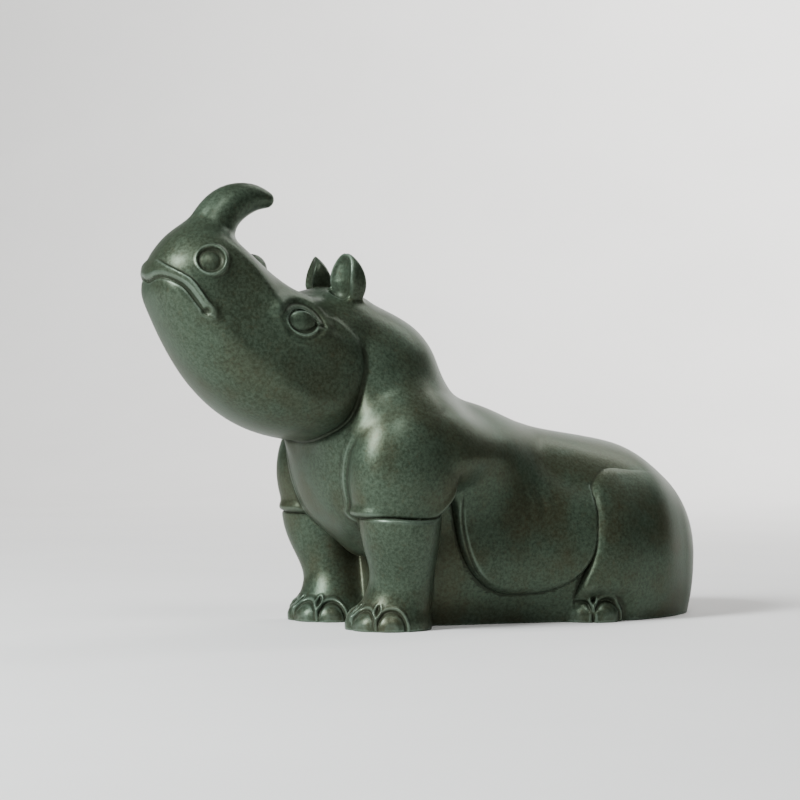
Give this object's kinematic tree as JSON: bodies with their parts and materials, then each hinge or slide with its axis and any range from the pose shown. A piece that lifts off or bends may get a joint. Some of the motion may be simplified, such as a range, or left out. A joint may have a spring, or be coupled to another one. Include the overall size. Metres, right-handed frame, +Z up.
{
  "type": "rhinoceros figurine",
  "caption": "Smooth stylised rhinoceros sitting with its head and curved horn thrown up, cast as one piece with a flat underside.",
  "frame": {"origin": "middle of the figure's outer length and width, on the plane that it stands on", "axes": "+Z up, -X the way the head points, the y = 0 plane is the animal's plane of symmetry"},
  "size_m": [0.3892, 0.1526, 0.2714],
  "materials": {
    "patinated_bronze": "satin dark green patina on cast bronze, finely mottled, waxed"
  },
  "bodies": {
    "root": {"rhinoceros": "patinated_bronze"}
  },
  "joints": []
}
